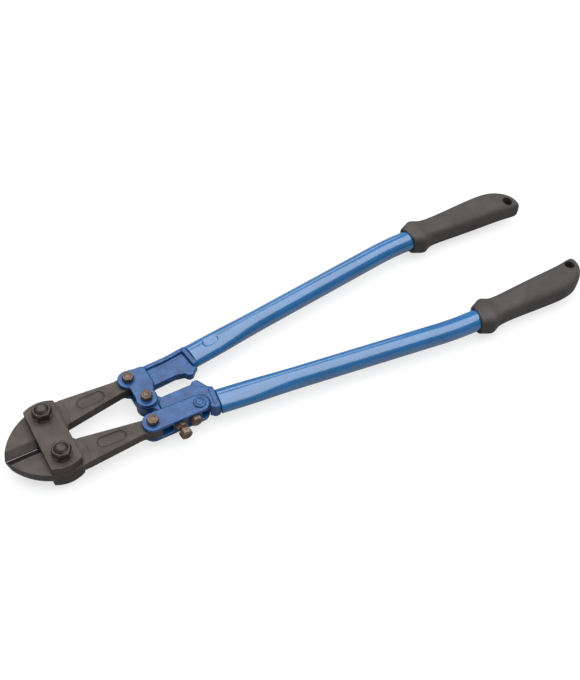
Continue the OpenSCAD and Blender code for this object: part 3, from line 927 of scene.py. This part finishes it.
@dataclass
class HandleTubes:
    """The two enamelled tubes, flattened at the front and bent before the grips."""

    sides: int = 96
    front_x: float = -111.408
    front_y: float = 29.8
    splay: float = 7.4
    straight: float = 237
    bend_r: float = 340
    into_grip: float = 30
    tube_d: float = 22
    oval_w: float = 26
    oval_h: float = 17.8
    oval_len: float = 22
    oval_blend: float = 62
    joint_gap: float = 0.7
    mark_at: float = 25
    mark_l: float = 15
    mark_w: float = 8.5
    mark_depth: float = 1.1
    mark_wall: float = 1.2

    def build(self) -> None:
        """Builds and dresses both tubes."""
        for side in Side:
            node = side.word + "_tube"
            tube = self.tube(node + "_enamelled", side)
            if side is Side.LEFT:
                self.press_mark(tube)
            self.lay(tube, side)
            dress(tube, BLUE_ENAMEL, side.word + "_lever", node)

    def section(self, along: float) -> tuple[float, float]:
        """Half width and half height of the tube at a distance from its front end.

        Args:
            along: The distance along the tube.

        Returns:
            The half width (in plan) and the half height.
        """
        share = max(0.0, min(1.0, (along - self.oval_len) / self.oval_blend))
        share = share * share * (3 - 2 * share)
        return (
            (self.oval_w + (self.tube_d - self.oval_w) * share) / 2,
            (self.oval_h + (self.tube_d - self.oval_h) * share) / 2,
        )

    def stations(self) -> list[float]:
        """Distances along the straight part at which the tube gets a ring."""
        mark = [self.mark_at - self.mark_l / 2 - 2 + 0.6 * k for k in range(33)]
        first = [self.joint_gap + d for d in (0, 0.15, 0.45, 0.9, 4, 9, 12)]
        blend = [38 + 4 * k for k in range(13)]
        rest = [90 + (self.straight - 90) * k / 8 for k in range(9)]
        return sorted(first + mark + blend + rest)

    def tube(self, name: str, side: Side) -> bpy.types.Object:
        """Draws a tube from its front end through the bend into the grip.

        Args:
            name: The tube's name.
            side: The handle it belongs to.

        Returns:
            The tube, with its straight part along X from the origin.
        """
        clear_selection()
        stations = self.stations()
        wide, high = self.section(stations[0])
        lip = 0.45
        bpy.ops.mesh.primitive_circle_add(
            vertices=self.sides, radius=MM, fill_type="NOTHING",
            location=(stations[0] * MM, 0, 0), rotation=(0, math.pi / 2, 0))
        piece = settle(bpy.context.object)
        piece.name = piece.data.name = name
        edit_all(piece)
        here = Vector((stations[0] * MM, 0, 0))
        wide, high = wide - lip, high - lip
        bpy.ops.transform.resize(value=(1, wide, high), center_override=here)
        for step, along in enumerate(stations[1:]):
            there = Vector((along * MM, 0, 0))
            new_wide, new_high = self.section(along)
            if step < 2:
                shrink = lip * (0.35 if step == 0 else 0.08)
                new_wide, new_high = new_wide - shrink, new_high - shrink
            bpy.ops.mesh.extrude_region_move(TRANSFORM_OT_translate={"value": there - here})
            bpy.ops.transform.resize(
                value=(1, new_wide / wide, new_high / high), center_override=there)
            here, wide, high = there, new_wide, new_high
        self.bend(here, side)
        bpy.ops.mesh.select_all(action="SELECT")
        bpy.ops.mesh.select_mode(type="EDGE")
        bpy.ops.mesh.region_to_loop()
        bpy.ops.mesh.edge_face_add()
        bpy.ops.object.mode_set(mode="OBJECT")
        piece = self.capped(piece)
        smooth_shade(piece, 45)
        return piece

    def bend(self, here: Vector, side: Side) -> None:
        """Extrudes the selected end of a tube round its bend and into the grip.

        Args:
            here: Middle of the ring at the start of the bend, in metres.
            side: The handle it belongs to.
        """
        steps = 14
        turn = -side.value * math.radians(self.splay)
        centre = here + Vector((0, -side.value * self.bend_r * MM, 0))
        arm = here - centre
        for step in range(1, steps + 1):
            there = centre + Matrix.Rotation(turn * step / steps, 3, "Z") @ arm
            bpy.ops.mesh.extrude_region_move(TRANSFORM_OT_translate={"value": there - here})
            bpy.ops.transform.rotate(
                value=-turn / steps, orient_axis="Z", center_override=there)
            here = there
        ahead = Vector((math.cos(turn), math.sin(turn), 0)) * self.into_grip * MM
        bpy.ops.mesh.extrude_region_move(TRANSFORM_OT_translate={"value": ahead})

    def capped(self, piece: bpy.types.Object) -> bpy.types.Object:
        """Closes both ends of a tube and turns its faces outwards."""
        edit_all(piece)
        bpy.ops.mesh.select_all(action="DESELECT")
        bpy.ops.mesh.select_mode(type="EDGE")
        bpy.ops.mesh.select_non_manifold(extend=False)
        bpy.ops.mesh.fill_holes(sides=0)
        bpy.ops.object.mode_set(mode="OBJECT")
        close_up(piece)
        return piece

    def press_mark(self, piece: bpy.types.Object) -> None:
        """Presses a blank oval into the top of a tube, over its tang.

        Args:
            piece: The tube, with its straight part along X from the origin.
        """
        _, high = self.section(self.mark_at)
        floor_z = (high - self.mark_depth) * MM
        reach = (self.mark_l - self.mark_w) / 2 * MM
        middle_x = self.mark_at * MM
        for vertex in piece.data.vertices:
            spot = vertex.co
            if spot.z < 0 or abs(spot.x - middle_x) > 12 * MM:
                continue
            off = Vector((max(0.0, abs(spot.x - middle_x) - reach), spot.y)).length / MM
            share = max(0.0, min(1.0, (self.mark_w / 2 + self.mark_wall - off) / self.mark_wall))
            share = share * share * (3 - 2 * share)
            spot.z += (min(spot.z, floor_z) - spot.z) * share

    def lay(self, piece: bpy.types.Object, side: Side) -> None:
        """Turns a tube to its splay and moves it behind its yoke.

        Args:
            piece: The tube, with its straight part along X from the origin.
            side: The handle it belongs to.
        """
        hold(piece)
        piece.rotation_euler = (0, 0, side.value * math.radians(self.splay))
        piece.location = (
            self.front_x * MM, side.value * self.front_y * MM, middle("left_tube").z)
        settle(piece)


@dataclass
class Grips:
    """The two rubber grips: a guard at the front, a swelling and a hooked end with a hole."""

    length: float = 142
    front_x: float = 167.9
    line_y: float = 63.156
    sleeve_r: float = 12.6
    splay: float = 7.4
    lean_end: float = 0.2
    hang_d: float = 11
    hang_back: float = 13
    hang_off: float = 8.82
    bore_r: float = 11.05
    bore_reach: tuple[float, float] = (-3, 60)
    voxel: float = 0.6
    rounds: int = 4
    sections: tuple[tuple[float, float, float, float], ...] = (
        (0.0, 0.99, -0.99, 0.98), (0.012, 1.04, -1.04, 1.0), (0.05, 1.23, -1.21, 1.08),
        (0.082, 1.4, -1.36, 1.14), (0.096, 1.42, -1.38, 1.15), (0.112, 1.37, -1.34, 1.12),
        (0.14, 1.2, -1.18, 1.06), (0.17, 1.08, -1.06, 1.01), (0.24, 1.03, -1.03, 0.98),
        (0.39, 1.1, -1.13, 1.0), (0.6, 1.25, -1.24, 1.03), (0.72, 1.29, -1.28, 1.03),
        (0.79, 1.24, -1.31, 1.02), (0.845, 1.1, -1.35, 1.01), (0.885, 0.92, -1.39, 0.99),
        (0.94, 0.48, -1.48, 0.93), (0.975, 0.02, -1.55, 0.82), (0.994, -0.49, -1.38, 0.64),
        (1.0, -0.78, -1.16, 0.49),
    )

    def build(self) -> None:
        """Builds and dresses both grips."""
        for side in Side:
            node = side.word + "_grip"
            grip = self.grip(node + "_rubber", side)
            dress(grip, RUBBER, side.word + "_lever", node)

    def grip(self, name: str, side: Side) -> bpy.types.Object:
        """Moulds a grip: a rounded block drawn through its sections, then bored.

        Args:
            name: The grip's name.
            side: The handle it belongs to.

        Returns:
            The grip at its place.
        """
        clear_selection()
        bpy.ops.mesh.primitive_plane_add(size=2 * MM, rotation=(0, math.pi / 2, 0))
        piece = settle(bpy.context.object)
        piece.name = piece.data.name = name
        edit_all(piece)
        bpy.ops.mesh.bevel(offset=0.62 * MM, segments=6, affect="VERTICES")
        here, outer, inner, tall = self.sections[0]
        wide = (outer - inner) / 2
        bpy.ops.transform.resize(
            value=(1, wide * self.sleeve_r, tall * self.sleeve_r), center_override=(0, 0, 0))
        centre = (outer + inner) / 2
        bpy.ops.transform.translate(value=(0, side.value * centre * self.sleeve_r * MM, 0))
        for along, outer, inner, high in self.sections[1:]:
            new_centre, new_wide = (outer + inner) / 2, (outer - inner) / 2
            step = Vector((
                (along - here) * self.length * MM,
                side.value * (new_centre - centre) * self.sleeve_r * MM, 0))
            bpy.ops.mesh.extrude_region_move(TRANSFORM_OT_translate={"value": step})
            pivot = (along * self.length * MM, side.value * new_centre * self.sleeve_r * MM, 0)
            bpy.ops.transform.resize(
                value=(1, new_wide / wide, high / tall), center_override=pivot)
            here, centre, wide, tall = along, new_centre, new_wide, high
        bpy.ops.object.mode_set(mode="OBJECT")
        close_up(piece)
        smooth = piece.modifiers.new("moulded", "SUBSURF")
        smooth.levels = smooth.render_levels = 2
        hold(piece)
        bpy.ops.object.modifier_apply(modifier=smooth.name)
        self.lean(piece, side)
        line = Vector((
            self.front_x * MM, side.value * self.line_y * MM, middle("left_grip").z))
        hold(piece)
        piece.location = line
        settle(piece)
        hole = turned("hang_hole", [(-40, self.hang_d / 2), (40, self.hang_d / 2)])
        stand(hole, line + Vector((
            (self.length - self.hang_back) * MM, -side.value * self.hang_off * MM, 0)))
        carve(piece, hole)
        bore = turned("tube_bore", [(end, self.bore_r) for end in self.bore_reach])
        hold(bore)
        bore.rotation_euler = (0, math.pi / 2, 0)
        bore.location = line
        settle(bore)
        carve(piece, bore)
        melt(piece, self.voxel, self.rounds)
        return piece

    def lean(self, piece: bpy.types.Object, side: Side) -> None:
        """Leans the front of a grip so that it stands square to its tube.

        Args:
            piece: The grip, with its line along X from the origin.
            side: The handle it belongs to.
        """
        slope = side.value * math.tan(math.radians(self.splay))
        for vertex in piece.data.vertices:
            share = vertex.co.x / (self.length * MM)
            vertex.co.x -= slope * max(0.0, 1 - share / self.lean_end) * vertex.co.y


# ---------------------------------------------------------------------------
# Studio
# ---------------------------------------------------------------------------


@dataclass
class Studio:
    """Pale floor, soft lights and the camera. Lengths here are in metres."""

    camera_at: tuple[float, float, float] = (-0.3634, -0.5274, 0.8165)
    target: tuple[float, float, float] = (-0.01103, 0.0062, 0.01498)
    roll: float = 4.483
    lens: float = 54.09
    floor_size: float = 14.0
    world_strength: float = 0.35
    key_size: tuple[float, float] = (3.4, 2.0)
    key_at: tuple[float, float, float] = (0.1, 0.1, 1.5)
    key_power: float = 75.0
    fill_power: float = 10.0
    floor_seen: float = 0.93
    floor_bounce: float = 0.35
    floor_glow: float = 0.75

    def build(self) -> None:
        """Builds the whole studio."""
        self.floor()
        self.lights()
        self.camera()
        self.world()
        bpy.context.scene.view_settings.view_transform = "Standard"

    def floor(self) -> None:
        """Lays the plain floor: pale to the camera, and darker where it lights the tool."""
        clear_selection()
        bpy.ops.mesh.primitive_plane_add(size=self.floor_size)
        floor = settle(bpy.context.object)
        floor.name = "studio_floor"
        material = bpy.data.materials.new("floor white")
        material.use_nodes = True
        nodes, links = material.node_tree.nodes, material.node_tree.links
        shader = nodes["Principled BSDF"]
        shader.inputs["Roughness"].default_value = 0.9
        shader.inputs["Specular IOR Level"].default_value = 0.1
        glow = nodes.new("ShaderNodeEmission")
        glow.inputs["Color"].default_value = (self.floor_seen,) * 3 + (1,)
        rays = nodes.new("ShaderNodeLightPath")
        shade = nodes.new("ShaderNodeMix")
        shade.data_type = "RGBA"
        shade.inputs[6].default_value = (self.floor_bounce,) * 3 + (1,)
        shade.inputs[7].default_value = (self.floor_seen,) * 3 + (1,)
        part = nodes.new("ShaderNodeMath")
        part.operation = "MULTIPLY"
        part.inputs[1].default_value = self.floor_glow
        blend = nodes.new("ShaderNodeMixShader")
        links.new(rays.outputs["Is Camera Ray"], shade.inputs[0])
        links.new(shade.outputs[2], shader.inputs["Base Color"])
        links.new(rays.outputs["Is Camera Ray"], part.inputs[0])
        links.new(part.outputs[0], blend.inputs[0])
        links.new(shader.outputs[0], blend.inputs[1])
        links.new(glow.outputs[0], blend.inputs[2])
        links.new(blend.outputs[0], nodes["Material Output"].inputs["Surface"])
        floor.data.materials.append(material)

    def lights(self) -> None:
        """Hangs a large soft box over the tool and a weaker one behind it."""
        self.box_light("key soft box", self.key_at, self.key_size, self.key_power)
        self.box_light("fill soft box", (0.3, 2.0, 1.2), (2.0, 0.5), self.fill_power)

    def box_light(
        self, name: str, place: tuple[float, float, float], size: tuple[float, float], power: float
    ) -> None:
        """Hangs one soft box that faces the tool.

        Args:
            name: The light's name.
            place: Where its middle is.
            size: Its width and height.
            power: Its power in watts.
        """
        clear_selection()
        bpy.ops.object.light_add(type="AREA", location=place)
        lamp = bpy.context.object
        lamp.name = name
        lamp.data.shape = "RECTANGLE"
        lamp.data.size, lamp.data.size_y = size
        lamp.data.energy = power
        aim = -Vector(place)
        lamp.rotation_euler = aim.to_track_quat("-Z", "Y").to_euler()

    def camera(self) -> None:
        """Sets the camera up at its viewing angle."""
        clear_selection()
        bpy.ops.object.camera_add(location=self.camera_at)
        camera = bpy.context.object
        camera.name = "studio camera"
        camera.data.lens = self.lens
        camera.data.sensor_width = 36
        camera.data.clip_end = 50
        aim = Vector(self.target) - Vector(self.camera_at)
        turn = aim.to_track_quat("-Z", "Y").to_matrix() @ Matrix.Rotation(
            math.radians(self.roll), 3, "Z")
        camera.rotation_euler = turn.to_euler()
        bpy.context.scene.camera = camera

    def world(self) -> None:
        """Fills the room with a plain pale light."""
        world = bpy.data.worlds.new("studio air")
        world.use_nodes = True
        air = world.node_tree.nodes["Background"]
        air.inputs["Color"].default_value = (0.9, 0.93, 1.0, 1)
        air.inputs["Strength"].default_value = self.world_strength
        bpy.context.scene.world = world


def main() -> None:
    logging.basicConfig(level=logging.INFO, format="%(name)s: %(message)s")
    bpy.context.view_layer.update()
    Studio().build()
    for assembly in (Straps(), Jaws(), Pins(), Yokes(), SideScrews(), HandleTubes(), Grips()):
        assembly.build()
        LOG.info("%s done", type(assembly).__name__)
    clear_selection()


if __name__ == "__main__":
    main()
